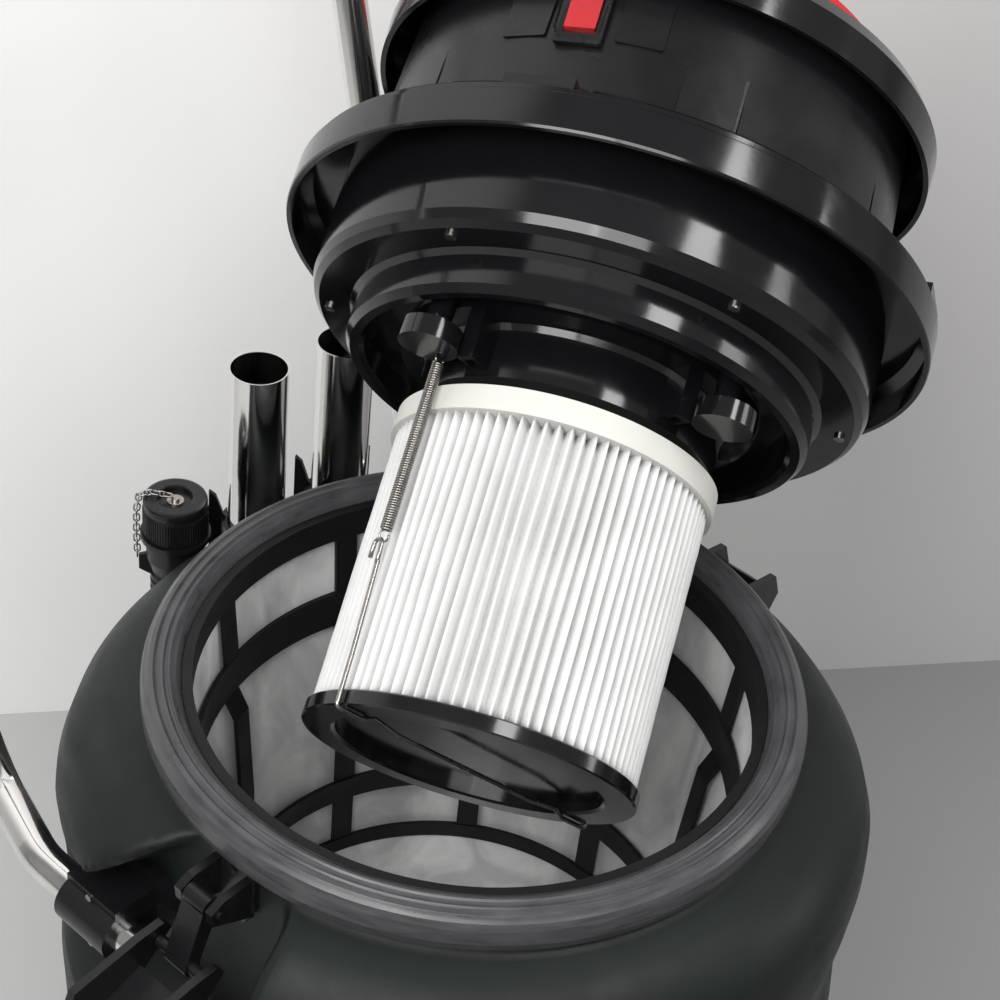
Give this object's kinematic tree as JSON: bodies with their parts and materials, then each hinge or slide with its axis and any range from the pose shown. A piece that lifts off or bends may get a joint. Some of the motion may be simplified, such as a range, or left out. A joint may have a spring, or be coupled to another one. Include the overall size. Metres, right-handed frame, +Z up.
{
  "type": "dust collector",
  "caption": "Wet and dry dust collector: moulded tank on a trolley with a felt basket, its motor head tilted off and a sprung pleated cartridge.",
  "frame": {"origin": "point on the floor under the tank's axis", "axes": "+Z up, +Y towards the push handle at the rear, +X to the right-hand latch"},
  "size_m": [0.7447, 0.7045, 1.0525],
  "materials": {
    "alloy": "cast",
    "cage_plastic": "matte",
    "chrome": "polished",
    "clear_plastic": "clear",
    "copper_iron": "laminated",
    "felt": "needled felt",
    "filter_white": "spunbond",
    "float_white": "satin",
    "gloss_black": "gloss",
    "red_plastic": "gloss",
    "ring_white": "moulded",
    "satin_black": "satin",
    "seal_rubber": "satin",
    "tank_plastic": "matte rotomoulded",
    "wheel_plastic": "satin",
    "wheel_rubber": "matte",
    "zinc_steel": "zinc plated"
  },
  "bodies": {
    "root": {"tank_shell": "tank_plastic", "rim_seal": "seal_rubber", "basket_cage": "cage_plastic", "felt_bag": "felt", "inlet_socket": "satin_black", "drain_elbow": "satin_black", "drain_hose": "satin_black", "drain_cuff": "satin_black", "wand_clips": "satin_black", "wand_cups": "satin_black", "push_handle": "chrome", "handle_brackets": "satin_black", "clamp_covers": "satin_black", "bracket_screws": "zinc_steel", "trolley_deck": "satin_black", "rear_axle": "zinc_steel", "latch_bases": "satin_black"},
    "head": {"head_skirt": "gloss_black", "head_pan": "gloss_black", "pan_screws": "zinc_steel", "motor_housing": "satin_black", "switch_bezel": "satin_black", "splash_cover": "clear_plastic", "cover_band": "gloss_black", "top_cap": "red_plastic", "motor_plate": "satin_black", "blower_case": "alloy", "motor_stator": "copper_iron", "motor_frame": "alloy", "hub_gasket": "seal_rubber", "float_cage": "cage_plastic", "cable_gland": "satin_black", "bail_springs": "zinc_steel", "switch_blanks": "satin_black"},
    "cartridge": {"cartridge_ring": "ring_white", "pleat_pack": "filter_white", "inner_mesh": "zinc_steel", "cartridge_cap": "gloss_black", "cartridge_bail": "zinc_steel"},
    "rocker": {"switch_rocker": "red_plastic"},
    "rotor": {"motor_rotor": "copper_iron"},
    "float": {"float_ball": "float_white"},
    "cap": {"drain_cap": "satin_black", "cap_rivet": "zinc_steel"},
    "wand_left": {"wand_left": "chrome"},
    "wand_right": {"wand_right": "chrome"},
    "link_left": {"latch_link_left": "satin_black"},
    "link_right": {"latch_link_right": "satin_black"},
    "lever_left": {"latch_lever_left": "satin_black"},
    "lever_right": {"latch_lever_right": "satin_black"},
    "wheel_left": {"rear_hub_left": "wheel_plastic", "rear_tyre_left": "wheel_rubber"},
    "wheel_right": {"rear_hub_right": "wheel_plastic", "rear_tyre_right": "wheel_rubber"},
    "fork_left": {"caster_fork_left": "zinc_steel"},
    "fork_right": {"caster_fork_right": "zinc_steel"},
    "roller_left": {"caster_wheel_left": "wheel_rubber"},
    "roller_right": {"caster_wheel_right": "wheel_rubber"}
  },
  "joints": [
    {"name": "head_lift", "type": "slide", "parent": "root", "child": "head", "axis": [0, 0, 1], "range_m": [0, 0.38]},
    {"name": "cartridge_pull", "type": "slide", "parent": "head", "child": "cartridge", "axis": [-0.7496, -0.3866, -0.5372], "range_m": [0, 0.02], "stiffness_N_per_m": 900, "springref_m": -0.03, "deforming": ["bail_springs"]},
    {"name": "switch_rock", "type": "hinge", "parent": "head", "child": "rocker", "pos_m": [0.16834, 0.10835, 1.01174], "axis": [0.3588, -0.9194, 0.1609], "range_deg": [-14, 0]},
    {"name": "motor_spin", "type": "hinge", "parent": "head", "child": "rotor", "pos_m": [0.1862, 0.08, 0.8099], "axis": [0.7496, 0.3866, 0.5372], "continuous": true},
    {"name": "float_rise", "type": "slide", "parent": "head", "child": "float", "axis": [0.7496, 0.3866, 0.5372], "range_m": [0, 0.019]},
    {"name": "cap_turn", "type": "hinge", "parent": "root", "child": "cap", "pos_m": [-0.006, 0.283, 0.6], "axis": [0, 0, 1], "continuous": true},
    {"name": "wand_left_lift", "type": "slide", "parent": "root", "child": "wand_left", "axis": [0, 0, 1], "range_m": [0, 0.06]},
    {"name": "wand_right_lift", "type": "slide", "parent": "root", "child": "wand_right", "axis": [0, 0, 1], "range_m": [0, 0.005]},
    {"name": "latch_link_left_swing", "type": "hinge", "parent": "root", "child": "link_left", "pos_m": [-0.229, 0, 0.617], "axis": [0, 1, 0], "range_deg": [0, 70]},
    {"name": "latch_lever_left_swing", "type": "hinge", "parent": "link_left", "child": "lever_left", "pos_m": [-0.243, 0, 0.576], "axis": [0, 1, 0], "range_deg": [-15, 60]},
    {"name": "wheel_left_roll", "type": "hinge", "parent": "root", "child": "wheel_left", "pos_m": [-0.241, 0.205, 0.1], "axis": [1, 0, 0], "continuous": true},
    {"name": "caster_left_swivel", "type": "hinge", "parent": "root", "child": "fork_left", "pos_m": [-0.175, -0.19, 0.104], "axis": [0, 0, 1], "continuous": true},
    {"name": "caster_left_roll", "type": "hinge", "parent": "fork_left", "child": "roller_left", "pos_m": [-0.175, -0.168, 0.0375], "axis": [1, 0, 0], "continuous": true},
    {"name": "latch_link_right_swing", "type": "hinge", "parent": "root", "child": "link_right", "pos_m": [0.229, 0, 0.617], "axis": [0, -1, 0], "range_deg": [0, 54]},
    {"name": "latch_lever_right_swing", "type": "hinge", "parent": "link_right", "child": "lever_right", "pos_m": [0.243, 0, 0.576], "axis": [0, -1, 0], "range_deg": [-15, 60]},
    {"name": "wheel_right_roll", "type": "hinge", "parent": "root", "child": "wheel_right", "pos_m": [0.241, 0.205, 0.1], "axis": [1, 0, 0], "continuous": true},
    {"name": "caster_right_swivel", "type": "hinge", "parent": "root", "child": "fork_right", "pos_m": [0.175, -0.19, 0.104], "axis": [0, 0, 1], "continuous": true},
    {"name": "caster_right_roll", "type": "hinge", "parent": "fork_right", "child": "roller_right", "pos_m": [0.175, -0.168, 0.0375], "axis": [1, 0, 0], "continuous": true}
  ]
}
